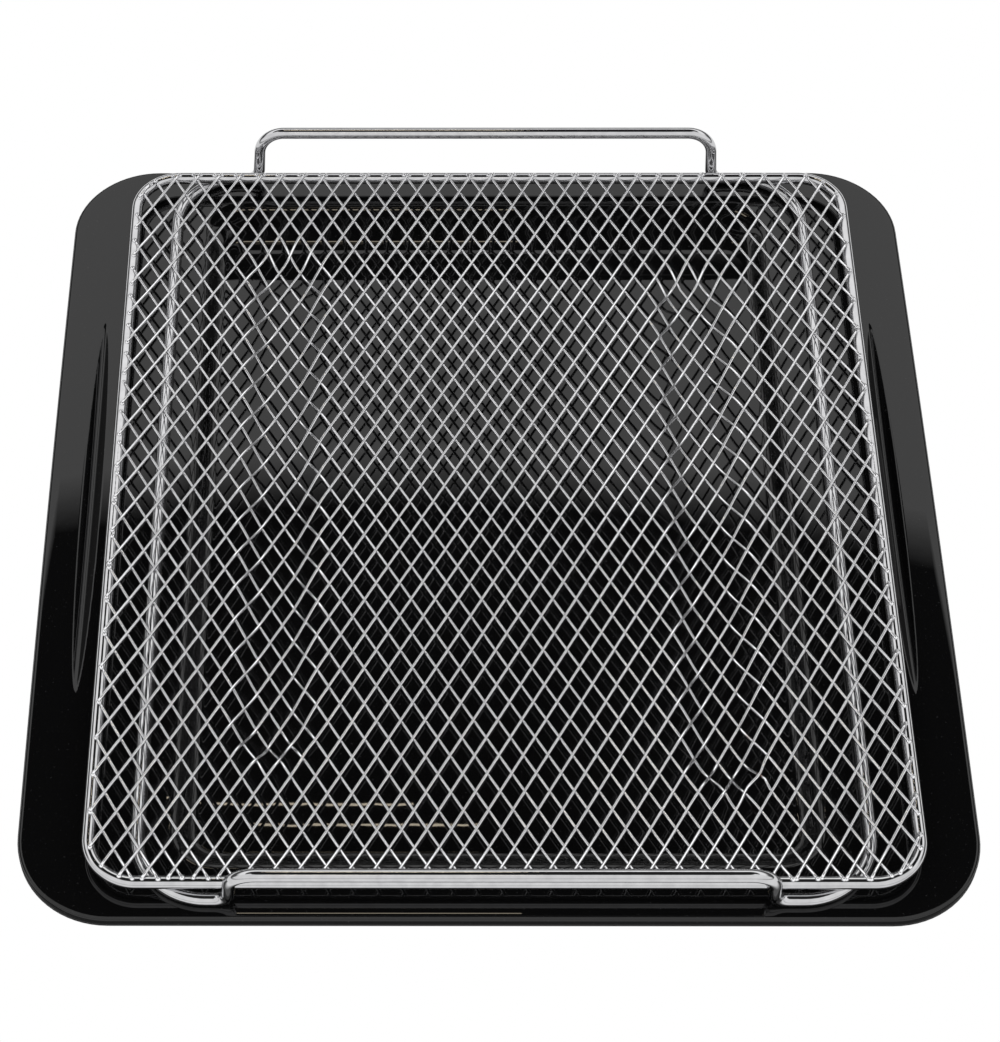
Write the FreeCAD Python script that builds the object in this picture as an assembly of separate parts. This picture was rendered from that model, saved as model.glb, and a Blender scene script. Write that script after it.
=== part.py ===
import FreeCAD, Part
import math
import os

# Oven tray with a wire rack that rests on its flange.
# Millimetres. Z is up, X is across, the front faces -Y.
# The origin is the middle of the flat underside of the tray.

V = FreeCAD.Vector

# Sizes of the tray
SHEET = 1.0                  # thickness of the pressed sheet
TRAY_WIDTH = 351.5
TRAY_LENGTH = 365.5
TRAY_CORNER = 34.5           # plan radius of the tray's corners
WELL_DEPTH = 6.8             # from the flange down to the floor
FLANGE_SIDE = 55.5           # from the tray's edge to the well's mouth, at the sides
FLANGE_FRONT = 20.8
FLANGE_BACK = 23.7
WELL_CORNER = 18.0           # plan radius of the well's mouth
WALL_LEAN = 38.0             # degrees off upright
MOUTH_BEND = 5.0             # bend from the flange into the wall, on its upper face
FOOT_BEND = 5.0              # bend from the wall into the floor, on its upper face
LIP_HEIGHT = 5.0             # turned-down edge, from the flange's upper face
LIP_BEND = 1.8               # outer radius of that turn
BEND_FLATS = 3               # flats that stand for the round of a bend in the sheet

# Sizes of the grooves in the flange
GROOVE_LENGTH = 180.0
GROOVE_WIDTH = 8.0
GROOVE_DEPTH = 1.5
GROOVE_FROM_EDGE = 17.2      # from the tray's edge to the groove's middle
GROOVE_BACK = 5.0            # the groove's middle lies this far behind the tray's

# Sizes of the rack's two rods
ROD = 4.8                    # diameter of both heavy rods
ROD_SIDES = 12               # flats that stand for the round of a rod
RACK_RIGHT = 1.7             # the rack stands this far to the right on the tray
RIM_FROM_SIDE = 25.75        # from the tray's side to the rim rod's middle
RIM_FROM_END = 10.95         # the same at the front and back
RIM_CORNER = 18.0
SUPPORT_SIDE_INSET = 17.0    # the support's side rods lie inside the rim's
SUPPORT_CORNER = 26.0
END_CLEARANCE = 0.15         # between a handle's leg and the rim beside it

# Sizes of the handles, which are part of the support rod
HANDLE_HEIGHT = 24.1         # from the middle of the lying rod to the middle of the bar
HANDLE_SPAN = 195.0          # between the legs, where they rise
HANDLE_TAPER = 1.6           # the bar's half span is shorter by this
HANDLE_LEAN = 3.7            # the bar stands this far outside the lying rod
HANDLE_FOOT_BEND = 5.5       # bend radius at the rod's middle
HANDLE_TOP_BEND = 10.5
HANDLE_LEFT = 1.5            # the handles stand this far left of the rack's middle

# Sizes of the mesh
WIRE = 1.2                   # thickness of a mesh wire
CELL_ACROSS = 9.0            # from corner to corner of a diamond, along X
CELL_ALONG = 15.6            # the same along Y
MESH_TURN = 0.5              # degrees that the panel is turned
MESH_PHASE_LOWER = 0.85      # where the first wire of each layer lies, in cells
MESH_PHASE_UPPER = 0.61
WIRE_INSIDE = 0.3            # the wires stop this far inside the rim rod's middle
WIRE_SEAT = 1.0              # the wires lie level on the rim for this far inside its middle
SHORTEST_WIRE = 6.0
MESH_SAG = 2.6               # the panel lies this much lower than its edge
SAG_RUN_SIDE = 22.0          # distance over which it comes down
SAG_RUN_FRONT = 20.0
SAG_RUN_BACK = 60.0
FOLD_LEAST = 0.08            # a wire's fold that is slighter than this is left straight
FOLD_APART = 0.05            # folds that are nearer to each other than this are one
SEARCH_STEPS = 60            # halvings in the search for a wire's ends

# Sizes of the two sunken channels in the mesh
CHANNEL_DEPTH = 6.0
CHANNEL_WIDTH = 35.0
CHANNEL_NEAR_END = 35.6      # from the rim to the nearer end of a channel
CHANNEL_FAR_END = 48.4       # and to its other end
CHANNEL_WALL = 6.0           # plan width of the sloping wall
CHANNEL_LEFT_IN = 65.0       # from the rim's left side to the left channel's middle
CHANNEL_RIGHT_IN = 67.5

# Derived sizes
FLANGE_Z = SHEET + WELL_DEPTH
MOUTH_WIDTH = TRAY_WIDTH - 2 * FLANGE_SIDE
MOUTH_LENGTH = TRAY_LENGTH - FLANGE_FRONT - FLANGE_BACK
WELL_Y = (FLANGE_FRONT - FLANGE_BACK) / 2
RIM_WIDTH = TRAY_WIDTH - 2 * RIM_FROM_SIDE
RIM_LENGTH = TRAY_LENGTH - 2 * RIM_FROM_END
CHANNEL_LENGTH = RIM_LENGTH - CHANNEL_NEAR_END - CHANNEL_FAR_END
CHANNEL_STAGGER = (CHANNEL_FAR_END - CHANNEL_NEAR_END) / 2
SUPPORT_Z = FLANGE_Z + ROD / 2
RIM_Z = SUPPORT_Z + ROD
HANDLE_Z = SUPPORT_Z + HANDLE_HEIGHT
LOWER_WIRE_Z = RIM_Z + ROD / 2
LAYER_Z = LOWER_WIRE_Z + WIRE


def rounded_outline(width, length, corner, z):
    """A closed wire: a rectangle with round corners, centred on the origin."""
    x = width / 2
    y = length / 2
    k = corner * (1 - math.sqrt(0.5))
    edges = []
    spots = [(x, y, 1, 1), (-x, y, -1, 1), (-x, -y, -1, -1), (x, -y, 1, -1)]
    starts = []
    for n, (cx, cy, sx, sy) in enumerate(spots):
        on_side = V(cx, cy - sy * corner, z)
        on_end = V(cx - sx * corner, cy, z)
        middle = V(cx - sx * k, cy - sy * k, z)
        first, last = (on_side, on_end) if n % 2 == 0 else (on_end, on_side)
        starts.append((first, middle, last))
    for n, (first, middle, last) in enumerate(starts):
        edges.append(Part.Arc(first, middle, last).toShape())
        following = starts[(n + 1) % 4][0]
        edges.append(Part.LineSegment(last, following).toShape())
    return Part.Wire(edges)


def rounded_block(width, length, corner, z0, z1):
    """An upright block with round corners."""
    outline = rounded_outline(width, length, corner, z0)
    return Part.Face(outline).extrude(V(0, 0, z1 - z0))


def bend_points(middle_in, middle_z, radius, start, end):
    """Points on a bend of the sheet in section, as inward distance and height.

    The angles say which way the bend's face looks from its middle: 0 is outward, 90 is up.
    """
    points = []
    for n in range(BEND_FLATS + 1):
        a = math.radians(start + (end - start) * n / BEND_FLATS)
        points.append((middle_in - radius * math.cos(a), middle_z + radius * math.sin(a)))
    return points


def run_round(width, length, corner, profile):
    """A section of sheet that goes straight along four sides and turns round four corners.

    The profile's points are distances inward from the outline, and heights.
    """
    half_x = width / 2 - corner
    half_y = length / 2 - corner
    axes = [(half_x, half_y), (-half_x, half_y), (-half_x, -half_y), (half_x, -half_y)]
    outward = [(1, 0), (0, 1), (-1, 0), (0, -1)]

    def section(axis, out):
        points = []
        for inward, z in profile + profile[:1]:
            away = corner - inward
            points.append(V(axis[0] + out[0] * away, axis[1] + out[1] * away, z))
        return Part.Face(Part.makePolygon(points))

    pieces = []
    for n in range(4):
        x, y = axes[n]
        next_x, next_y = axes[(n + 1) % 4]
        pieces.append(section(axes[n], outward[n]).revolve(V(x, y, 0), V(0, 0, 1), 90))
        turned = section(axes[n], outward[(n + 1) % 4])
        pieces.append(turned.extrude(V(next_x - x, next_y - y, 0)))
    return pieces


def wall_reach():
    """How far the floor's edge lies inside the mouth's edge."""
    slope = math.radians(90 - WALL_LEAN)
    straight_drop = WELL_DEPTH - (MOUTH_BEND + FOOT_BEND) * (1 - math.cos(slope))
    return (MOUTH_BEND + FOOT_BEND) * math.sin(slope) + straight_drop / math.tan(slope)


def make_well():
    """The wall with its two bends, and the floor inside it."""
    reach = wall_reach()
    mouth_middle = FLANGE_Z - MOUTH_BEND
    foot_middle = SHEET + FOOT_BEND
    upper = bend_points(0, mouth_middle, MOUTH_BEND, 90, 180 - WALL_LEAN)
    upper += bend_points(reach, foot_middle, FOOT_BEND, -WALL_LEAN, -90)
    lower = bend_points(0, mouth_middle, MOUTH_BEND - SHEET, 90, 180 - WALL_LEAN)
    lower += bend_points(reach, foot_middle, FOOT_BEND + SHEET, -WALL_LEAN, -90)
    pieces = run_round(MOUTH_WIDTH, MOUTH_LENGTH, WELL_CORNER, upper + lower[::-1])
    floor_width = MOUTH_WIDTH - 2 * reach
    floor_length = MOUTH_LENGTH - 2 * reach
    pieces.append(rounded_block(floor_width, floor_length, WELL_CORNER - reach, 0.0, SHEET))
    return [piece.translated(V(0, WELL_Y, 0)) for piece in pieces]


def make_lip():
    """The turned-down edge of the flange."""
    foot = FLANGE_Z - LIP_HEIGHT
    middle_z = FLANGE_Z - LIP_BEND
    outer = [(0.0, foot)] + bend_points(LIP_BEND, middle_z, LIP_BEND, 0, 90)
    inner = [(SHEET, foot)] + bend_points(LIP_BEND, middle_z, LIP_BEND - SHEET, 0, 90)
    return run_round(TRAY_WIDTH, TRAY_LENGTH, TRAY_CORNER, outer + inner[::-1])


def groove_body(side, grow):
    """Two leaning rods that meet at the groove's middle: they dip into the flange like a boat's hull."""
    half = GROOVE_LENGTH / 2
    radius = ((GROOVE_WIDTH / 2) ** 2 + GROOVE_DEPTH ** 2) / (2 * GROOVE_DEPTH)
    x = side * (TRAY_WIDTH / 2 - GROOVE_FROM_EDGE)
    deep = V(x, GROOVE_BACK, FLANGE_Z + radius - GROOVE_DEPTH)
    wide = 2 * (radius + grow)
    pieces = []
    for end in (-1, 1):
        run = V(0, end * half, GROOVE_DEPTH)
        rod = Part.makeCylinder(radius + grow, 1.1 * run.Length, deep - run * 0.05, run)
        near = GROOVE_BACK if end > 0 else GROOVE_BACK - half
        room = Part.makeBox(wide, half, 2 * wide, V(x - wide / 2, near, deep.z - wide))
        pieces.append(rod.common(room))
    return pieces[0].fuse(pieces[1])


def make_tray():
    """Flange, turned-down lip, well and two grooves, all from one sheet."""
    under = FLANGE_Z - SHEET
    width = TRAY_WIDTH - 2 * LIP_BEND
    length = TRAY_LENGTH - 2 * LIP_BEND
    flange = rounded_block(width, length, TRAY_CORNER - LIP_BEND, under, FLANGE_Z)
    mouth = rounded_block(MOUTH_WIDTH, MOUTH_LENGTH, WELL_CORNER, under, FLANGE_Z)
    mouth.translate(V(0, WELL_Y, 0))
    solid = flange.cut(mouth).multiFuse(make_lip() + make_well())
    below = Part.makeBox(TRAY_WIDTH, TRAY_LENGTH, under, V(-TRAY_WIDTH / 2, -TRAY_LENGTH / 2, SHEET / 2))
    for side in (-1, 1):
        solid = solid.fuse(groove_body(side, SHEET).common(below))
        solid = solid.cut(groove_body(side, 0.0))
    return solid.removeSplitter().Solids[0]


def rod_outline(centre, along):
    """The many-sided section of a level rod, with a flat above and one below."""
    radius = ROD / 2 / math.cos(math.pi / ROD_SIDES)
    across = along.cross(V(0, 0, 1)).normalize()
    points = []
    for n in range(ROD_SIDES + 1):
        a = (n + 0.5) * 2 * math.pi / ROD_SIDES
        points.append(centre + across * (radius * math.cos(a)) + V(0, 0, radius * math.sin(a)))
    return Part.makePolygon(points)


def bent_rod(corners, radii):
    """A closed rod through the corner points, bent at each on its own radius."""
    count = len(corners)
    bends = []
    for n in range(count):
        before = (corners[n - 1] - corners[n]).normalize()
        after = (corners[(n + 1) % count] - corners[n]).normalize()
        half = before.getAngle(after) / 2
        reach = radii[n] / math.tan(half)
        start = corners[n] + before * reach
        end = corners[n] + after * reach
        centre = corners[n] + (before + after).normalize() * (radii[n] / math.sin(half))
        axis = after.cross(before).normalize()
        bends.append((start, end, centre, axis, math.degrees(math.pi - 2 * half)))
    # The section is carried along the rod, turned by each bend.
    section = rod_outline(bends[0][0], corners[0] - corners[-1])
    pieces = []
    for n in range(count):
        start, end, centre, axis, angle = bends[n]
        pieces.append(Part.Face(section).revolve(centre, axis, angle))
        section = section.rotated(centre, axis, angle)
        run = bends[(n + 1) % count][0] - end
        pieces.append(Part.Face(section).extrude(run))
        section = section.translated(run)
    return pieces[0].multiFuse(pieces[1:]).Solids[0]


def make_rim():
    """The rod that the mesh is welded to."""
    x = RIM_WIDTH / 2
    y = RIM_LENGTH / 2
    corners = [V(x, -y, RIM_Z), V(x, y, RIM_Z), V(-x, y, RIM_Z), V(-x, -y, RIM_Z)]
    return bent_rod(corners, [RIM_CORNER] * 4)


def support_reach():
    """How far out the support's end rods lie, so that the handles just clear the rim."""
    lean = math.atan2(HANDLE_LEAN, HANDLE_HEIGHT)
    apart = (ROD + END_CLEARANCE) / math.cos(lean)
    return RIM_LENGTH / 2 + apart - (RIM_Z - SUPPORT_Z) * math.tan(lean)


def make_support():
    """The rod that lies on the flange and rises into a handle at each end."""
    x = RIM_WIDTH / 2 - SUPPORT_SIDE_INSET
    y = support_reach()
    foot = HANDLE_SPAN / 2
    top = foot - HANDLE_TAPER
    out = y + HANDLE_LEAN
    shift = -HANDLE_LEFT
    corners = []
    radii = []
    for end in (-1, 1):
        for side in (end * -1, end):
            legs = [(side * x, end * y, SUPPORT_Z, SUPPORT_CORNER)]
            legs.append((side * foot + shift, end * y, SUPPORT_Z, HANDLE_FOOT_BEND))
            legs.append((side * top + shift, end * out, HANDLE_Z, HANDLE_TOP_BEND))
            if side == end:
                legs.reverse()
            for px, py, pz, radius in legs:
                corners.append(V(px, py, pz))
                radii.append(radius)
    return bent_rod(corners, radii)


def channel_planes(cx, cy):
    """Distances inward from a channel's eight-sided outline, as a*x + b*y + c."""
    half_x = CHANNEL_WIDTH / 2
    half_y = CHANNEL_LENGTH / 2
    slant = half_x * (math.sqrt(2) - 1)
    s = math.sqrt(0.5)
    slant_reach = (half_x + half_y - slant) * s
    planes = []
    for side in (-1, 1):
        planes.append((-side, 0.0, half_x + side * cx))
        planes.append((0.0, -side, half_y + side * cy))
        for end in (-1, 1):
            planes.append((-side * s, -end * s, slant_reach + s * (side * cx + end * cy)))
    return planes


CHANNELS = [
    channel_planes(CHANNEL_LEFT_IN - RIM_WIDTH / 2, CHANNEL_STAGGER),
    channel_planes(RIM_WIDTH / 2 - CHANNEL_RIGHT_IN, -CHANNEL_STAGGER),
]


def edge_planes():
    """How far the panel has come down, seen from each side and corner of the rim."""
    seat_x = RIM_WIDTH / 2 - WIRE_SEAT
    seat_y = RIM_LENGTH / 2 - WIRE_SEAT
    side = MESH_SAG / SAG_RUN_SIDE
    front = MESH_SAG / SAG_RUN_FRONT
    back = MESH_SAG / SAG_RUN_BACK
    planes = [
        (side, 0.0, side * seat_x),
        (-side, 0.0, side * seat_x),
        (0.0, front, front * seat_y),
        (0.0, -back, back * seat_y),
    ]
    s = math.sqrt(0.5)
    corner_reach = s * (RIM_WIDTH / 2 + RIM_LENGTH / 2 - 2 * RIM_CORNER) + RIM_CORNER - WIRE_SEAT
    for sx in (-1, 1):
        for sy in (-1, 1):
            planes.append((-side * s * sx, -side * s * sy, side * corner_reach))
    return planes


EDGES = edge_planes()


def panel_drop(x, y):
    """How far the mesh lies below the top of the rim, at a point."""
    sag = min(MESH_SAG, min(a * x + b * y + c for a, b, c in EDGES))
    drop = max(0.0, sag)
    wall = CHANNEL_DEPTH / CHANNEL_WALL
    for planes in CHANNELS:
        inside = min(a * x + b * y + c for a, b, c in planes)
        drop += min(CHANNEL_DEPTH, max(0.0, inside * wall))
    return drop


def clip_to_rim(px, py, dx, dy):
    """Where a straight line enters and leaves the round-cornered space inside the rim."""
    half_x = RIM_WIDTH / 2 - WIRE_INSIDE
    half_y = RIM_LENGTH / 2 - WIRE_INSIDE
    corner = RIM_CORNER - WIRE_INSIDE

    def outside(t):
        qx = abs(px + t * dx) - (half_x - corner)
        qy = abs(py + t * dy) - (half_y - corner)
        away = math.hypot(max(qx, 0.0), max(qy, 0.0))
        return away + min(max(qx, qy), 0.0) - corner

    # The point of the line that lies deepest inside is found by thirds.
    far = RIM_WIDTH + RIM_LENGTH
    low, high = -far, far
    for _ in range(SEARCH_STEPS):
        a = low + (high - low) / 3
        b = high - (high - low) / 3
        if outside(a) < outside(b):
            high = b
        else:
            low = a
    deep = (low + high) / 2
    if outside(deep) >= 0:
        return None
    ends = []
    for side in (-1, 1):
        inner, outer = deep, side * far
        for _ in range(SEARCH_STEPS):
            mid = (inner + outer) / 2
            if outside(mid) < 0:
                inner = mid
            else:
                outer = mid
        ends.append((inner + outer) / 2)
    return ends


def profile_along(px, py, dx, dy, start, end):
    """The bends of the panel along a line: its places and drops, exact at each fold."""
    folds = [start, end]
    groups = [(EDGES, 1.0, MESH_SAG)]
    for planes in CHANNELS:
        groups.append((planes, CHANNEL_DEPTH / CHANNEL_WALL, CHANNEL_DEPTH))
    for planes, scale, limit in groups:
        lines = [(0.0, 0.0), (0.0, limit)]
        for a, b, c in planes:
            lines.append((scale * (a * dx + b * dy), scale * (a * px + b * py + c)))
        for i in range(len(lines)):
            for j in range(i):
                steep = lines[i][0] - lines[j][0]
                if steep != 0:
                    t = (lines[j][1] - lines[i][1]) / steep
                    if start + FOLD_APART < t < end - FOLD_APART:
                        folds.append(t)
    folds.sort()
    points = []
    for t in folds:
        if not points or t == end or t - points[-1][0] >= FOLD_APART:
            points.append((t, panel_drop(px + t * dx, py + t * dy)))
    kept = [points[0]]
    for n in range(1, len(points) - 1):
        t0, z0 = kept[-1]
        t1, z1 = points[n]
        t2, z2 = points[n + 1]
        straight = z0 + (z2 - z0) * (t1 - t0) / (t2 - t0)
        if abs(straight - z1) > FOLD_LEAST:
            kept.append(points[n])
    kept.append(points[-1])
    return kept


def make_layer(lean_sign, phase, under_z):
    """One layer of the mesh: parallel wires, each cut as a ribbon that follows the panel."""
    turn = math.radians(MESH_TURN)
    nx0 = 1.0 / CELL_ACROSS
    ny0 = lean_sign / CELL_ALONG
    nx = nx0 * math.cos(turn) - ny0 * math.sin(turn)
    ny = nx0 * math.sin(turn) + ny0 * math.cos(turn)
    size = math.hypot(nx, ny)
    nx, ny = nx / size, ny / size
    pitch = 1.0 / size
    dx, dy = -ny, nx
    reach = int((RIM_WIDTH + RIM_LENGTH) / 2 / pitch) + 2
    sideways = V(nx, ny, 0)
    solids = []
    for n in range(-reach, reach + 1):
        off = (n - phase) * pitch
        px, py = off * nx, off * ny
        span = clip_to_rim(px, py, dx, dy)
        if span is None or span[1] - span[0] < SHORTEST_WIRE:
            continue
        profile = profile_along(px, py, dx, dy, span[0], span[1])
        top = []
        foot = []
        for t, drop in profile:
            spot = V(px + t * dx, py + t * dy, under_z - drop) - sideways * (WIRE / 2)
            foot.append(spot)
            top.append(spot + V(0, 0, WIRE))
        outline = foot + top[::-1] + foot[:1]
        face = Part.Face(Part.makePolygon(outline))
        solids.append(face.extrude(sideways * WIRE))
    return Part.makeCompound(solids)


def main():
    os.makedirs("parts", exist_ok=True)
    tray = make_tray()
    rim = make_rim()
    support = make_support()
    lower = make_layer(1, MESH_PHASE_LOWER, LOWER_WIRE_Z)
    upper = make_layer(-1, MESH_PHASE_UPPER, LAYER_Z)
    for part in (rim, support, lower, upper):
        part.translate(V(RACK_RIGHT, 0, 0))
    tray.exportStep("parts/tray.step")
    rim.exportStep("parts/rim_wire.step")
    support.exportStep("parts/support_frame.step")
    lower.exportStep("parts/mesh_lower_wires.step")
    upper.exportStep("parts/mesh_upper_wires.step")


main()
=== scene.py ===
import math

import bpy
import numpy as np
from mathutils import Matrix, Vector


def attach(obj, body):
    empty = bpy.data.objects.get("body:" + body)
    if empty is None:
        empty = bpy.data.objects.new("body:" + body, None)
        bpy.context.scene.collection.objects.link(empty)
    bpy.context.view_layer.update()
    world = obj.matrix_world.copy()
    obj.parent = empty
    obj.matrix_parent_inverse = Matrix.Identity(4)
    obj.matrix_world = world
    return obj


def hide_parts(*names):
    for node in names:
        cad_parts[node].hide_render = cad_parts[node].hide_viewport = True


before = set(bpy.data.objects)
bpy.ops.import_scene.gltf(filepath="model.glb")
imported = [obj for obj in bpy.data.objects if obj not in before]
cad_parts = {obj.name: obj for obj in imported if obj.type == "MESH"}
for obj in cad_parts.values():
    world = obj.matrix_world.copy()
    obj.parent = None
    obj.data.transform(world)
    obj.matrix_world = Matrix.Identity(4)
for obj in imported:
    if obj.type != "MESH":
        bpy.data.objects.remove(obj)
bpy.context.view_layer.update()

MM = 0.001

# The tray, in millimetres, as the part has it
SHEET = 1.0
TRAY_HALF_X = 175.75
TRAY_HALF_Y = 182.75
TRAY_CORNER = 34.5
FLANGE_Z = 7.8
FLANGE_SIDE = 55.5
FLANGE_FRONT = 20.8
WELL_CORNER = 18.0
WALL_TURN = math.radians(52.0)
MOUTH_BEND = 5.0
FOOT_BEND = 5.0
FLOOR_INSET = 10.19
LIP_HEIGHT = 5.0
LIP_BEND = 1.8
GROOVE_X = 158.55
GROOVE_Y = 5.0
GROOVE_HALF_LENGTH = 90.0

# Where the sheet follows the photograph more closely than the part does
SIDE_BOW = 0.8  # the sides come in by this much toward the corners
FLANGE_BACK = 15.75
BACK_STRETCH = 2.58  # the well's back wall is this many times as wide as the others
CREASE_Y = 125.6  # a small step in the floor, and a slight slope behind it
CREASE_RUN = 3.1
CREASE_RISE = 0.17
BACK_SLOPE = 0.047
BACK_SLOPE_RUN = 12.0
GROOVE_HALF_WIDTH = 3.8
GROOVE_DEPTH = 2.3
GROOVE_LEAN = 0.04  # the deepest line lies nearer the middle by this share of the half width
GROOVE_END_POWER = 0.6
GROOVE_SIDE_POWER = 1.3

# How finely the sheet is divided: points round a loop, and loops from the lip to the floor's middle
POINTS_X = 90
POINTS_Y = 160
POINTS_CORNER = 18
LIP_LOOPS = 3
LIP_BEND_LOOPS = 8
FLANGE_RUNS = [(0.0475, 0.19, 4), (0.2, 0.375, 30), (0.4, 1.0, 9)]  # shares of its width, and loops
WALL_BEND_LOOPS = 12
WALL_SHARES = (0.33, 0.67)
FLOOR_STEPS = (0.6, 2.0, 5.0, 9.0, 11.2, 12.0, 12.8, 13.6, 14.4, 15.2, 16.0, 30.0, 60.0)  # inward

# The rack's rods
RACK_X = 1.7
ROD_RADIUS = 2.4
ROD_SIDES = 32
ROD_STEP = 6.0
RIM_X = 150.0
RIM_Y = 171.8
RIM_Z = 15.0
RIM_CORNER = 18.0
SUPPORT_X = 133.0
SUPPORT_Y = 176.07
SUPPORT_Z = 10.2
SUPPORT_CORNER = 26.0
HANDLE_Z = 34.3
HANDLE_OUT = 3.7
HANDLE_FOOT = 97.5
HANDLE_TOP = 95.9
HANDLE_SHIFT = -1.5
HANDLE_FOOT_BEND = 5.5
HANDLE_TOP_BEND = 10.5

# The mesh, whose channels have softer walls than in the part
WIRE_RADIUS = 0.6
WIRE_SIDES = 8
WIRE_STEP = 2.5
WIRE_INSET = 0.4  # the wires stop about this far inside the rim rod's middle
WIRE_TRIES = 45  # lines tried on each side of the middle
WIRE_WANDER = 0.06  # how unevenly the wires lie
SHORTEST_WIRE = 6.0
LINE_REACH = 360.0  # how far a line is followed to find its ends
LINE_STEP = 0.1
END_OUT = 0.5  # a wire's end may stand out by this much
END_IN = 0.3  # or fall short by this much
END_SETTLE = 5.0  # the upper wires come down to the rim over this length
END_LIFT = 0.1
LAYER_HALF_GAP = 0.55
LOWER_PHASE = 0.85  # where the first wire of each layer lies, in cells
UPPER_PHASE = 0.61
CELL_ACROSS = 9.0
CELL_ALONG = 15.6
MESH_TURN = math.radians(0.5)
PANEL_RIM_Z = 17.95
PANEL_SAG = 2.6  # the panel comes down by this much inside the rim
SAG_RUN_SIDE = 24.0
SAG_RUN_FRONT = 22.0
SAG_RUN_BACK = 70.0
WAVE_HEIGHT = 0.3  # how unevenly it lies
CHANNEL_DEPTH = 5.5
CHANNEL_HALF_WIDTH = 17.5
CHANNEL_HALF_LENGTH = 130.0
CHANNEL_WALL = 12.0
CHANNEL_DIP = 0.9  # the panel also comes down this much round a channel
CHANNEL_DIP_RUN = 30.0
CHANNELS = [(-85.0, 7.0), (82.5, -5.5)]
WELD_SIZE = (1.05, 1.05, 0.55)
WELD_LIFT = 0.1
WELD_SHARES = (0.8, 1.15)

# Where wires are bent out of line: x, y, shift along x, shift along z, reach
KINKS = [
    (79.0, -131.0, 1.2, 0.7, 4.5),
    (88.0, -131.0, -1.0, -0.9, 4.0),
    (95.0, -127.0, 1.3, 0.5, 3.0),
    (-87.5, -118.0, 0.9, -0.6, 3.5),
    (-75.0, -115.0, -0.8, 0.4, 3.5),
]

# Colours of the enamel and its dust, and of the rods' and the wires' cloudy plating
ENAMEL_COLORS = ((0.003, 0.003, 0.0032), (0.03, 0.03, 0.031))
ROD_COLORS = ((0.54, 0.54, 0.55), (0.63, 0.63, 0.64))
WIRE_COLORS = ((0.86, 0.86, 0.88), (0.95, 0.95, 0.96))

# Small brown marks on the wires: their colour, then place and reach in metres
BROWN = (0.24, 0.10, 0.045)
BROWN_MARKS = [((0.097, -0.126, 0.012), 0.0028), ((0.092, -0.108, 0.012), 0.003)]

# The sine of the height at which the dark ceiling starts, behind the tray and on the camera's side
FAR_CEILING = math.sin(math.radians(52.6))
NEAR_CEILING = math.sin(math.radians(70.0))
FAR_EDGE = (FAR_CEILING - 0.006, FAR_CEILING + 0.006)
NEAR_EDGE = (NEAR_CEILING - 0.01, NEAR_CEILING + 0.01)

# How the studio brightens upward: two sines of the height, and the strength below and above them
FAR_LOW = (0.36, 0.56, 0.1, 1.2)
NEAR_LOW = (0.06, 0.16, 0.4, 1.0)
CEILING_GLOW = 0.02

# The table, in metres
TABLE_HALF = 6.0
TABLE_DROP = 0.0002
TABLE_SHADE = (0.004, 0.016, 0.12, 1.0)  # two distances from the tray, and the strength at each

# The lamps, in metres: name, place, width, thickness and radiance
LAMPS = [
    ("far_strip", (-0.168, 1.399, 2.575), 0.287, 0.003, 9.0),
    ("far_strip_low", (-0.094, 1.372, 2.587), 0.33, 0.003, 9.0),
    ("ceiling_strip", (-0.079, 1.142, 2.6), 0.408, 0.1, 5.0),
    ("near_strip", (-0.135, -0.95, 1.75), 0.17, 0.02, 4.0),
    ("near_strip_short", (0.064, -0.95, 1.75), 0.06, 0.02, 4.0),
]
LAMP_COLOR = (1.0, 0.88, 0.68)

# The camera, in metres and degrees
CAMERA_PLACE = (-0.0332, -0.6632, 0.8959)
CAMERA_DOWN = 53.5
CAMERA_YAW = -0.40
CAMERA_ROLL = -0.31
SENSOR = 36.0
FOCAL_SHARE = 2.804
SHIFT_X = 0.1043


def ease(u):
    """Rises quickly from 0 and flattens out at 1."""
    u = np.clip(u, 0, 1)
    return 1 - (1 - u) ** 2


def smooth(u):
    """Rises from 0 to 1 with level ends."""
    u = np.clip(u, 0, 1)
    return u * u * (3 - 2 * u)


def rounded_loop(half_x, half_y, corner, steps_x, steps_y, steps_corner):
    """Points round a rectangle with round corners, as rows of x and y."""
    corner = max(corner, 0.01)
    flat_x = half_x - corner
    flat_y = half_y - corner
    points = []
    for n in range(4):
        sx = (1, -1, -1, 1)[n]
        sy = (1, 1, -1, -1)[n]
        start = math.pi / 2 * n
        for k in range(steps_corner):
            a = start + math.pi / 2 * k / steps_corner
            points.append((sx * flat_x + corner * math.cos(a), sy * flat_y + corner * math.sin(a)))
        a = start + math.pi / 2
        bx = sx * flat_x + corner * math.cos(a)
        by = sy * flat_y + corner * math.sin(a)
        steps = steps_x if n % 2 == 0 else steps_y
        run_x = -2 * flat_x * sx if n % 2 == 0 else 0.0
        run_y = -2 * flat_y * sy if n % 2 == 1 else 0.0
        for k in range(steps):
            points.append((bx + run_x * k / steps, by + run_y * k / steps))
    return np.array(points)


def make_piece(name, verts, faces, material, node):
    """A mesh object in metres from points in millimetres, riding the root body."""
    mesh = bpy.data.meshes.new(name)
    mesh.from_pydata([tuple(v) for v in np.asarray(verts) * MM], [], faces)
    mesh.validate()
    mesh.update()
    mesh.polygons.foreach_set("use_smooth", [True] * len(mesh.polygons))
    mesh.materials.append(material)
    piece = bpy.data.objects.new(name, mesh)
    bpy.context.scene.collection.objects.link(piece)
    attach(piece, "root")
    if node:
        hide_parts(node)
    return piece


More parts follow.
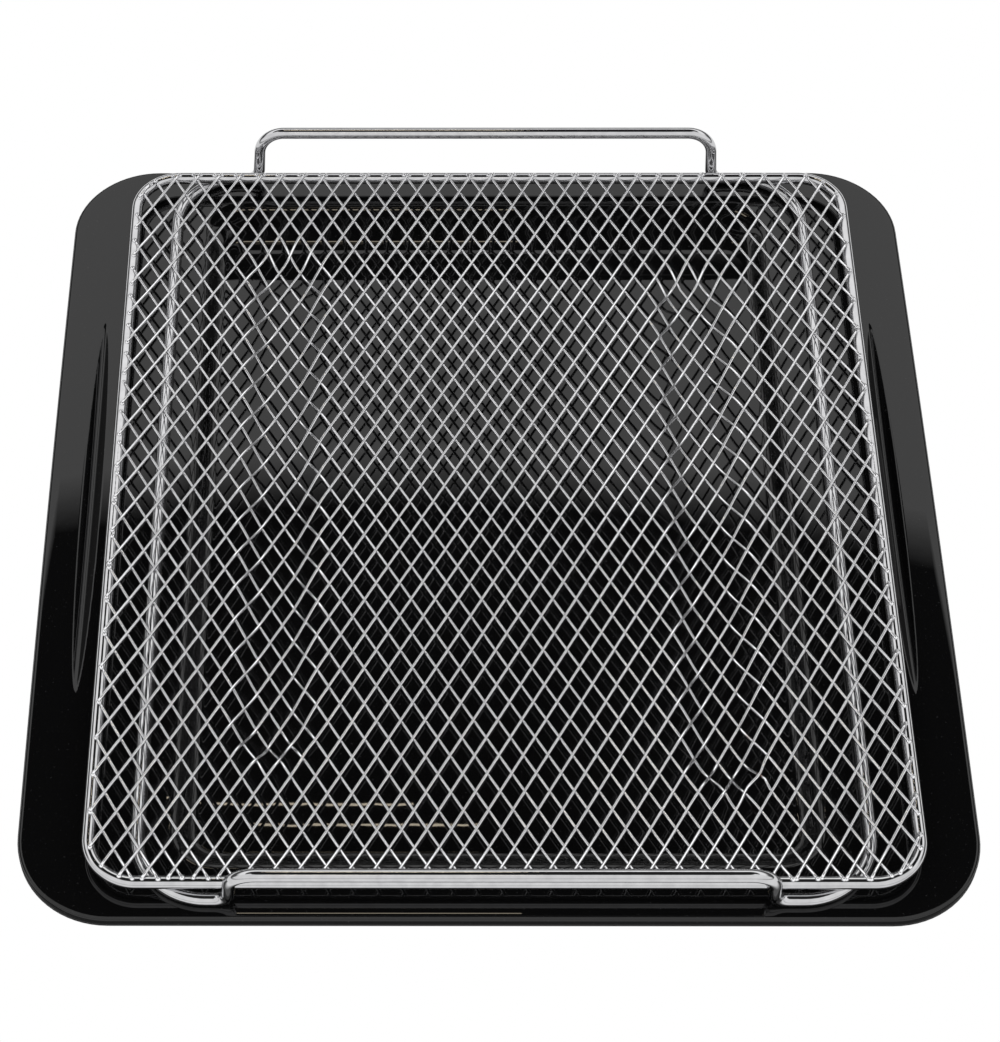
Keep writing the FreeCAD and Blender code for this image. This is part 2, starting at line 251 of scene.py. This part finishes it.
def tray_stations():
    """The sheet's upper face from the lip's foot to the floor, one row for each loop.

    Each row holds the way in from the edge, the share of the flange passed, the way into
    the well, the corner, the height, and the face's slope inward and upward.
    """
    stations = []
    for z in np.linspace(FLANGE_Z - LIP_HEIGHT, FLANGE_Z - LIP_BEND, LIP_LOOPS):
        stations.append((0.0, 0.0, 0.0, TRAY_CORNER, z, -1.0, 0.0))
    for a in np.linspace(0, math.pi / 2, LIP_BEND_LOOPS + 1)[1:]:
        inset = LIP_BEND * (1 - math.cos(a))
        z = FLANGE_Z - LIP_BEND + LIP_BEND * math.sin(a)
        stations.append((inset, 0.0, 0.0, TRAY_CORNER - inset, z, -math.cos(a), math.sin(a)))
    for first, last, count in FLANGE_RUNS:
        for s in np.linspace(first, last, count):
            corner = TRAY_CORNER - LIP_BEND + (WELL_CORNER - TRAY_CORNER + LIP_BEND) * s
            stations.append((LIP_BEND, s, 0.0, corner, FLANGE_Z, 0.0, 1.0))
    wall = []
    for a in np.linspace(0, WALL_TURN, WALL_BEND_LOOPS + 1)[1:]:
        wall.append((MOUTH_BEND * math.sin(a), FLANGE_Z - MOUTH_BEND * (1 - math.cos(a)), a))
    foot = []
    for a in np.linspace(WALL_TURN, 0, WALL_BEND_LOOPS + 1):
        foot.append((FLOOR_INSET - FOOT_BEND * math.sin(a), SHEET + FOOT_BEND * (1 - math.cos(a)), a))
    top_way, top_z, _ = wall[-1]
    foot_way, foot_z, _ = foot[0]
    for s in WALL_SHARES:
        wall.append((top_way + (foot_way - top_way) * s, top_z + (foot_z - top_z) * s, WALL_TURN))
    floor = [(FLOOR_INSET + step, SHEET, 0.0) for step in FLOOR_STEPS]
    for way, z, a in wall + foot + floor:
        stations.append((LIP_BEND, 1.0, way, WELL_CORNER - way, z, math.sin(a), math.cos(a)))
    return stations


def groove_dip(x, y):
    """How far the flange is pressed down at a point by the groove on that side."""
    u = np.clip((y - GROOVE_Y) / GROOVE_HALF_LENGTH, -1, 1)
    share = 1 - u * u
    width = GROOVE_HALF_WIDTH * np.sqrt(share) + 0.01
    across = np.clip((np.abs(x) - GROOVE_X) / width, -1, 1) + GROOVE_LEAN
    across = across / np.where(across > 0, 1 + GROOVE_LEAN, 1 - GROOVE_LEAN)
    return GROOVE_DEPTH * share ** GROOVE_END_POWER * (1 - np.abs(across) ** GROOVE_SIDE_POWER)


def tray_loop(station, under):
    """One loop of the sheet, on its upper face or its under face."""
    edge, flange_share, way, corner, z, n_in, n_z = station
    if under:
        if flange_share > 0:
            way = way - n_in * SHEET
        else:
            edge = edge - n_in * SHEET
        z = z - n_z * SHEET
        corner = corner + n_in * SHEET
    back_way = way + min(way, FLOOR_INSET) * (BACK_STRETCH - 1)
    half_x = TRAY_HALF_X - edge - (FLANGE_SIDE - LIP_BEND) * flange_share - way
    front = TRAY_HALF_Y - edge - (FLANGE_FRONT - LIP_BEND) * flange_share - way
    back = TRAY_HALF_Y - edge - (FLANGE_BACK - LIP_BEND) * flange_share - back_way
    loop = rounded_loop(half_x, (front + back) / 2, corner, POINTS_X, POINTS_Y, POINTS_CORNER)
    loop[:, 1] += (back - front) / 2
    bow = SIDE_BOW * (1 - flange_share)
    loop[:, 0] -= np.sign(loop[:, 0]) * bow * (loop[:, 1] / TRAY_HALF_Y) ** 2
    height = np.full(len(loop), z)
    if flange_share > 0:
        height -= groove_dip(loop[:, 0], loop[:, 1])
    if flange_share > 0 and not under:
        share = max(0.0, 1 - (z - SHEET) / (FLANGE_Z - SHEET))
        past = loop[:, 1] - CREASE_Y
        slope = BACK_SLOPE * np.clip(past - CREASE_RUN, 0, BACK_SLOPE_RUN)
        height += share * (CREASE_RISE * smooth(past / CREASE_RUN) + slope)
    return np.column_stack([loop, height])


def make_tray(material):
    """The pressed tray as one closed sheet, with fewer loops on its plain under face."""
    stations = tray_stations()
    loops = [tray_loop(s, False) for s in stations]
    half = len(stations)
    lip = LIP_LOOPS + LIP_BEND_LOOPS
    below = stations[:lip:2] + stations[lip + 1:-1:3] + [stations[-1]]
    loops += [tray_loop(s, True) for s in reversed(below)]
    count = len(loops[0])
    verts = np.vstack(loops)
    faces = []
    for n in range(len(loops)):
        if n == half - 1:
            continue
        m = (n + 1) % len(loops)
        for k in range(count):
            j = (k + 1) % count
            faces.append((n * count + k, n * count + j, m * count + j, m * count + k))
    floor_top = [(half - 1) * count + k for k in range(count)]
    floor_under = [half * count + k for k in reversed(range(count))]
    faces.append(floor_top)
    faces.append(floor_under)
    return make_piece("tray_enamel", verts, faces, material, "tray")


def bent_path(corners, radii, arc_steps, run_step):
    """Points along a closed wire that turns each corner on an arc."""
    corners = [Vector(c) for c in corners]
    count = len(corners)
    bends = []
    for n in range(count):
        before = (corners[n - 1] - corners[n]).normalized()
        after = (corners[(n + 1) % count] - corners[n]).normalized()
        half = before.angle(after) / 2
        reach = radii[n] / math.tan(half)
        centre = corners[n] + (before + after).normalized() * (radii[n] / math.sin(half))
        start = corners[n] + before * reach
        end = corners[n] + after * reach
        turn = math.pi - 2 * half
        axis = after.cross(before).normalized()
        bends.append((start, end, centre, axis, turn))
    points = []
    for n in range(count):
        start, end, centre, axis, turn = bends[n]
        for k in range(arc_steps + 1):
            spin = Matrix.Rotation(turn * k / arc_steps, 3, axis)
            points.append(centre + spin @ (start - centre))
        following = bends[(n + 1) % count][0]
        run = following - end
        steps = max(1, int(run.length / run_step))
        for k in range(1, steps):
            points.append(end + run * (k / steps))
    return [np.array(p) for p in points]


def tube(points, radius, sides, closed):
    """Rings of points round a path, and the faces between them."""
    path = np.array(points)
    count = len(path)
    if closed:
        tangents = np.roll(path, -1, axis=0) - np.roll(path, 1, axis=0)
    else:
        tangents = np.gradient(path, axis=0)
    tangents = tangents / np.linalg.norm(tangents, axis=1)[:, None]
    frame_x = np.cross(tangents[0], (0.0, 0.0, 1.0))
    if np.linalg.norm(frame_x) < 0.1:
        frame_x = np.cross(tangents[0], (1.0, 0.0, 0.0))
    frames = []
    for n in range(count):
        frame_x = frame_x - tangents[n] * np.dot(frame_x, tangents[n])
        frame_x = frame_x / np.linalg.norm(frame_x)
        frames.append(frame_x.copy())
    twist = 0.0
    if closed:
        last = frames[-1] - tangents[0] * np.dot(frames[-1], tangents[0])
        side = np.cross(tangents[0], frames[0])
        twist = math.atan2(np.dot(last, side), np.dot(last, frames[0]))
    verts = []
    for n in range(count):
        other = np.cross(tangents[n], frames[n])
        angles = np.arange(sides) * 2 * math.pi / sides - twist * n / count
        ring = np.outer(np.cos(angles), frames[n]) + np.outer(np.sin(angles), other)
        verts.append(path[n] + radius * ring)
    faces = []
    for n in range(count if closed else count - 1):
        m = (n + 1) % count
        for k in range(sides):
            j = (k + 1) % sides
            faces.append((n * sides + k, n * sides + j, m * sides + j, m * sides + k))
    if not closed:
        faces.append(tuple(reversed(range(sides))))
        faces.append(tuple((count - 1) * sides + k for k in range(sides)))
    return np.vstack(verts), faces


def make_rim(material):
    """The closed rounded rectangle that carries the mesh."""
    corners = [(RIM_X, -RIM_Y), (RIM_X, RIM_Y), (-RIM_X, RIM_Y), (-RIM_X, -RIM_Y)]
    corners = [(x + RACK_X, y, RIM_Z) for x, y in corners]
    path = bent_path(corners, [RIM_CORNER] * 4, 24, ROD_STEP)
    verts, faces = tube(path, ROD_RADIUS, ROD_SIDES, True)
    return make_piece("rim_wire_chrome", verts, faces, material, "rim_wire")


def make_support(material):
    """The closed wire on the flange that rises into both handles."""
    corners = []
    radii = []
    for end in (-1, 1):
        for side in (-end, end):
            leg = [(side * SUPPORT_X, end * SUPPORT_Y, SUPPORT_Z, SUPPORT_CORNER)]
            leg.append((side * HANDLE_FOOT + HANDLE_SHIFT, end * SUPPORT_Y, SUPPORT_Z, HANDLE_FOOT_BEND))
            bar_y = end * (SUPPORT_Y + HANDLE_OUT)
            leg.append((side * HANDLE_TOP + HANDLE_SHIFT, bar_y, HANDLE_Z, HANDLE_TOP_BEND))
            if side == end:
                leg.reverse()
            for x, y, z, radius in leg:
                corners.append((x + RACK_X, y, z))
                radii.append(radius)
    path = bent_path(corners, radii, 20, ROD_STEP)
    verts, faces = tube(path, ROD_RADIUS, ROD_SIDES, True)
    return make_piece("support_frame_chrome", verts, faces, material, "support_frame")


def panel_height(x, y):
    """Height of the face where the two layers of wires meet, over a point of the rack."""
    sag = ease((RIM_X - np.abs(x)) / SAG_RUN_SIDE)
    sag = sag * ease((y + RIM_Y) / SAG_RUN_FRONT) * ease((RIM_Y - y) / SAG_RUN_BACK)
    z = PANEL_RIM_Z - PANEL_SAG * sag
    for cx, cy in CHANNELS:
        along = np.maximum(np.abs(y - cy) - (CHANNEL_HALF_LENGTH - CHANNEL_HALF_WIDTH), 0)
        inside = CHANNEL_HALF_WIDTH - np.hypot(x - cx, along)
        z = z - CHANNEL_DEPTH * smooth(inside / CHANNEL_WALL)
        z = z - CHANNEL_DIP * smooth(1 + inside / CHANNEL_DIP_RUN) * sag
    broad_wave = np.sin(x * 0.041 + 1.3) * np.sin(y * 0.033 + 0.4)
    slanted_wave = 0.6 * np.sin(x * 0.017 - y * 0.052)
    return z + WAVE_HEIGHT * (broad_wave + slanted_wave) * sag


def rim_span(px, py, dx, dy):
    """The stretch of a straight line that lies inside the rim rod's middle."""
    half_x = RIM_X - WIRE_INSET
    half_y = RIM_Y - WIRE_INSET
    corner = RIM_CORNER - WIRE_INSET
    t = np.linspace(-LINE_REACH, LINE_REACH, round(2 * LINE_REACH / LINE_STEP) + 1)
    qx = np.abs(px + t * dx) - (half_x - corner)
    qy = np.abs(py + t * dy) - (half_y - corner)
    out = np.hypot(np.maximum(qx, 0), np.maximum(qy, 0)) + np.minimum(np.maximum(qx, qy), 0) - corner
    inside = t[out < 0]
    if len(inside) < round(SHORTEST_WIRE / LINE_STEP):
        return None
    return inside[0], inside[-1]


def make_layer(name, node, lean, phase, lift, material, rng):
    """One layer of round wires that follow the panel."""
    nx0 = 1 / CELL_ACROSS
    ny0 = lean / CELL_ALONG
    nx = nx0 * math.cos(MESH_TURN) - ny0 * math.sin(MESH_TURN)
    ny = nx0 * math.sin(MESH_TURN) + ny0 * math.cos(MESH_TURN)
    size = math.hypot(nx, ny)
    nx, ny = nx / size, ny / size
    dx, dy = -ny, nx
    verts = []
    faces = []
    ends = []
    base = 0
    for n in range(-WIRE_TRIES, WIRE_TRIES + 1):
        off = (n - phase) / size + rng.normal(0, WIRE_WANDER)
        px, py = off * nx, off * ny
        span = rim_span(px, py, dx, dy)
        if span is None:
            continue
        start = span[0] + rng.uniform(-END_OUT, END_IN)
        end = span[1] + rng.uniform(-END_IN, END_OUT)
        steps = max(4, int((end - start) / WIRE_STEP))
        t = np.linspace(start, end, steps + 1)
        x = px + t * dx
        y = py + t * dy
        z = panel_height(x, y) + lift
        near = np.minimum(t - start, end - t)
        z = z - max(lift - END_LIFT, 0) * (1 - smooth(near / END_SETTLE))
        for kx, ky, shift_x, shift_z, reach in KINKS:
            pull = np.exp(-((x - kx) ** 2 + (y - ky) ** 2) / (2 * reach * reach))
            x = x + shift_x * pull
            z = z + shift_z * pull
        points = np.column_stack([x + RACK_X, y, z])
        tube_verts, tube_faces = tube(points, WIRE_RADIUS, WIRE_SIDES, False)
        verts.append(tube_verts)
        faces += [tuple(k + base for k in face) for face in tube_faces]
        base += len(tube_verts)
        ends.append(points[0])
        ends.append(points[-1])
    make_piece(name, np.vstack(verts), faces, material, node)
    return ends


def make_welds(ends, material, rng):
    """A small flattened blob of metal where each wire ends on the rim."""
    rows, cols = 5, 8
    unit = []
    for i in range(rows):
        a = math.pi * (i / (rows - 1) - 0.5)
        for k in range(cols):
            b = 2 * math.pi * k / cols
            unit.append((math.cos(a) * math.cos(b), math.cos(a) * math.sin(b), math.sin(a)))
    unit = np.array(unit)
    verts = []
    faces = []
    for n, spot in enumerate(ends):
        size = np.array(WELD_SIZE) * rng.uniform(*WELD_SHARES)
        centre = np.array([spot[0], spot[1], RIM_Z + ROD_RADIUS + WELD_LIFT])
        verts.append(centre + unit * size)
        base = n * rows * cols
        for i in range(rows - 1):
            for k in range(cols):
                j = (k + 1) % cols
                low = base + i * cols
                high = low + cols
                faces.append((low + k, low + j, high + j, high + k))
    return make_piece("weld_spots", np.vstack(verts), faces, material, None)


def new_material(name):
    """An empty material with a shader on its surface."""
    material = bpy.data.materials.new(name)
    material.use_nodes = True
    nodes = material.node_tree.nodes
    nodes.clear()
    output = nodes.new("ShaderNodeOutputMaterial")
    shader = nodes.new("ShaderNodeBsdfPrincipled")
    material.node_tree.links.new(shader.outputs["BSDF"], output.inputs["Surface"])
    return material, nodes, material.node_tree.links, shader


def add_noise(nodes, links, scale, detail):
    """Fine noise laid over the piece in its own coordinates."""
    coords = nodes.new("ShaderNodeTexCoord")
    noise = nodes.new("ShaderNodeTexNoise")
    noise.inputs["Scale"].default_value = scale
    noise.inputs["Detail"].default_value = detail
    links.new(coords.outputs["Object"], noise.inputs["Vector"])
    return noise


def add_ramp(nodes, links, source, low, high, low_color, high_color):
    """A colour that passes from one to the other between two values."""
    ramp = nodes.new("ShaderNodeValToRGB")
    ramp.color_ramp.elements[0].position = low
    ramp.color_ramp.elements[1].position = high
    ramp.color_ramp.elements[0].color = (*low_color, 1)
    ramp.color_ramp.elements[1].color = (*high_color, 1)
    links.new(source, ramp.inputs["Fac"])
    return ramp.outputs["Color"]


def math_node(nodes, links, kind, first, second):
    """A math node fed by a socket and by a socket or a number."""
    node = nodes.new("ShaderNodeMath")
    node.operation = kind
    links.new(first, node.inputs[0])
    if isinstance(second, float):
        node.inputs[1].default_value = second
    else:
        links.new(second, node.inputs[1])
    return node.outputs[0]


def map_range(nodes, links, source, low, high, low_value, high_value):
    """Carries the stretch from low to high over to two other values."""
    node = nodes.new("ShaderNodeMapRange")
    node.inputs["From Min"].default_value = low
    node.inputs["From Max"].default_value = high
    node.inputs["To Min"].default_value = low_value
    node.inputs["To Max"].default_value = high_value
    links.new(source, node.inputs["Value"])
    return node.outputs["Result"]


def enamel_material():
    """Black gloss enamel with orange peel and a little dust."""
    material, nodes, links, shader = new_material("black_enamel")
    shader.inputs["IOR"].default_value = 1.48
    shader.inputs["Roughness"].default_value = 0.008
    dust = add_noise(nodes, links, 900.0, 2.0)
    color = add_ramp(nodes, links, dust.outputs["Fac"], 0.66, 0.80, *ENAMEL_COLORS)
    links.new(color, shader.inputs["Base Color"])
    peel = add_noise(nodes, links, 130.0, 1.5)
    bump = nodes.new("ShaderNodeBump")
    bump.inputs["Strength"].default_value = 0.002
    bump.inputs["Distance"].default_value = 0.001
    links.new(peel.outputs["Fac"], bump.inputs["Height"])
    links.new(bump.outputs["Normal"], shader.inputs["Normal"])
    return material


def chrome_material(name, colors, roughness, bump_strength, marks):
    """Bright plating with faint cloudiness and, on the wires, a few small brown marks."""
    material, nodes, links, shader = new_material(name)
    shader.inputs["Metallic"].default_value = 1.0
    shader.inputs["Roughness"].default_value = roughness
    cloud = add_noise(nodes, links, 220.0, 3.0)
    color = add_ramp(nodes, links, cloud.outputs["Fac"], 0.3, 0.7, *colors)
    coords = nodes.new("ShaderNodeTexCoord")
    for place, reach in marks:
        gap = nodes.new("ShaderNodeVectorMath")
        gap.operation = "DISTANCE"
        gap.inputs[1].default_value = place
        links.new(coords.outputs["Object"], gap.inputs[0])
        fade = map_range(nodes, links, gap.outputs["Value"], reach * 0.4, reach, 0.0, 1.0)
        stain = nodes.new("ShaderNodeMix")
        stain.data_type = "RGBA"
        stain.inputs[6].default_value = (*BROWN, 1)
        links.new(fade, stain.inputs[0])
        links.new(color, stain.inputs[7])
        color = stain.outputs[2]
    links.new(color, shader.inputs["Base Color"])
    grain = add_noise(nodes, links, 700.0, 2.0)
    bump = nodes.new("ShaderNodeBump")
    bump.inputs["Strength"].default_value = bump_strength
    bump.inputs["Distance"].default_value = 0.0005
    links.new(grain.outputs["Fac"], bump.inputs["Height"])
    links.new(bump.outputs["Normal"], shader.inputs["Normal"])
    return material


def white_for_rays(nodes, links):
    """A value of 1 for what the camera or a reflection sees, and 0 for other light."""
    path = nodes.new("ShaderNodeLightPath")
    seen = math_node(nodes, links, "MAXIMUM", path.outputs["Is Camera Ray"], path.outputs["Is Glossy Ray"])
    return math_node(nodes, links, "MAXIMUM", seen, path.outputs["Is Transmission Ray"])


def near_shade(nodes, links):
    """1 for the camera; in reflections the table is dim close to the tray's edge."""
    coords = nodes.new("ShaderNodeTexCoord")
    split = nodes.new("ShaderNodeSeparateXYZ")
    links.new(coords.outputs["Object"], split.inputs[0])
    wide = math_node(nodes, links, "ABSOLUTE", split.outputs["X"], 0.0)
    deep = math_node(nodes, links, "ABSOLUTE", split.outputs["Y"], 0.0)
    wide = math_node(nodes, links, "SUBTRACT", wide, TRAY_HALF_X * MM)
    deep = math_node(nodes, links, "SUBTRACT", deep, TRAY_HALF_Y * MM)
    away = math_node(nodes, links, "MAXIMUM", wide, deep)
    fade = map_range(nodes, links, away, *TABLE_SHADE)
    path = nodes.new("ShaderNodeLightPath")
    return math_node(nodes, links, "MAXIMUM", fade, path.outputs["Is Camera Ray"])


def make_floor():
    """A wide pale table that shows as plain white."""
    mesh = bpy.data.meshes.new("floor")
    r = TABLE_HALF
    mesh.from_pydata([(-r, -r, 0), (r, -r, 0), (r, r, 0), (-r, r, 0)], [], [(0, 1, 2, 3)])
    floor = bpy.data.objects.new("floor", mesh)
    floor.location.z = -TABLE_DROP
    bpy.context.scene.collection.objects.link(floor)
    material = bpy.data.materials.new("floor_white")
    material.use_nodes = True
    nodes = material.node_tree.nodes
    links = material.node_tree.links
    nodes.clear()
    output = nodes.new("ShaderNodeOutputMaterial")
    mix = nodes.new("ShaderNodeMixShader")
    matt = nodes.new("ShaderNodeBsdfDiffuse")
    matt.inputs["Color"].default_value = (0.8, 0.8, 0.8, 1)
    glow = nodes.new("ShaderNodeEmission")
    glow.inputs["Color"].default_value = (1, 1, 1, 1)
    links.new(near_shade(nodes, links), glow.inputs["Strength"])
    links.new(white_for_rays(nodes, links), mix.inputs["Fac"])
    links.new(matt.outputs[0], mix.inputs[1])
    links.new(glow.outputs[0], mix.inputs[2])
    links.new(mix.outputs[0], output.inputs["Surface"])
    mesh.materials.append(material)


def make_world():
    """A white studio under a dark ceiling that hangs lower behind the tray.

    The camera sees plain white. Near the horizon the studio is dimmer.
    """
    world = bpy.data.worlds.new("studio")
    bpy.context.scene.world = world
    world.use_nodes = True
    nodes = world.node_tree.nodes
    links = world.node_tree.links
    nodes.clear()
    output = nodes.new("ShaderNodeOutputWorld")
    coords = nodes.new("ShaderNodeTexCoord")
    split = nodes.new("ShaderNodeSeparateXYZ")
    links.new(coords.outputs["Generated"], split.inputs[0])
    height = split.outputs["Z"]
    far_top = map_range(nodes, links, height, *FAR_EDGE, 1.0, CEILING_GLOW)
    far_low = map_range(nodes, links, height, *FAR_LOW)
    near_top = map_range(nodes, links, height, *NEAR_EDGE, 1.0, CEILING_GLOW)
    near_low = map_range(nodes, links, height, *NEAR_LOW)
    side = nodes.new("ShaderNodeMix")
    links.new(map_range(nodes, links, split.outputs["Y"], -0.1, 0.1, 0.0, 1.0), side.inputs[0])
    links.new(math_node(nodes, links, "MULTIPLY", near_top, near_low), side.inputs[2])
    links.new(math_node(nodes, links, "MULTIPLY", far_top, far_low), side.inputs[3])
    room = nodes.new("ShaderNodeBackground")
    room.inputs["Color"].default_value = (1, 1, 1, 1)
    links.new(side.outputs[0], room.inputs["Strength"])
    plain = nodes.new("ShaderNodeBackground")
    plain.inputs["Color"].default_value = (1, 1, 1, 1)
    path = nodes.new("ShaderNodeLightPath")
    mix = nodes.new("ShaderNodeMixShader")
    links.new(path.outputs["Is Camera Ray"], mix.inputs["Fac"])
    links.new(room.outputs[0], mix.inputs[1])
    links.new(plain.outputs[0], mix.inputs[2])
    links.new(mix.outputs[0], output.inputs["Surface"])


def make_lamp(name, place, width, thickness, radiance):
    """A thin warm strip of light, aimed at the tray."""
    light = bpy.data.lights.new(name, "AREA")
    light.shape = "RECTANGLE"
    light.size = width
    light.size_y = thickness
    light.energy = radiance * math.pi * width * thickness
    light.color = LAMP_COLOR
    lamp = bpy.data.objects.new(name, light)
    bpy.context.scene.collection.objects.link(lamp)
    lamp.location = place
    aim = Vector((place[0], 0, 0)) - Vector(place)
    lamp.rotation_euler = aim.to_track_quat("-Z", "Y").to_euler()


def make_camera():
    """The photograph's viewpoint."""
    down = math.radians(CAMERA_DOWN)
    yaw = math.radians(CAMERA_YAW)
    roll = math.radians(CAMERA_ROLL)
    ahead = Vector((math.sin(yaw) * math.cos(down), math.cos(yaw) * math.cos(down), -math.sin(down)))
    right = Vector((math.cos(yaw), -math.sin(yaw), 0))
    up = right.cross(ahead)
    right_rolled = math.cos(roll) * right + math.sin(roll) * up
    up_rolled = -math.sin(roll) * right + math.cos(roll) * up
    data = bpy.data.cameras.new("camera")
    camera = bpy.data.objects.new("camera", data)
    bpy.context.scene.collection.objects.link(camera)
    turn = Matrix((right_rolled, up_rolled, -ahead)).transposed()
    camera.matrix_world = Matrix.Translation(Vector(CAMERA_PLACE)) @ turn.to_4x4()
    data.sensor_fit = "HORIZONTAL"
    data.sensor_width = SENSOR
    data.lens = SENSOR * FOCAL_SHARE
    data.shift_x = SHIFT_X
    data.clip_start = 0.01
    bpy.context.scene.camera = camera


def main():
    """Dresses the part, then sets the stage round it."""
    enamel = enamel_material()
    rod = chrome_material("chrome_rod", ROD_COLORS, 0.05, 0.02, [])
    wire = chrome_material("chrome_wire", WIRE_COLORS, 0.10, 0.04, BROWN_MARKS)
    rng = np.random.default_rng(7)
    make_tray(enamel)
    make_rim(rod)
    make_support(rod)
    ends = make_layer("mesh_lower_round", "mesh_lower_wires", 1, LOWER_PHASE, -LAYER_HALF_GAP, wire, rng)
    ends += make_layer("mesh_upper_round", "mesh_upper_wires", -1, UPPER_PHASE, LAYER_HALF_GAP, wire, rng)
    make_welds(ends, wire, rng)
    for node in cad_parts.values():
        material = enamel if node.name == "tray" else rod
        node.data.materials.clear()
        node.data.materials.append(material)
    make_floor()
    make_world()
    for lamp in LAMPS:
        make_lamp(*lamp)
    make_camera()
    bpy.context.scene.view_settings.view_transform = "Standard"


main()
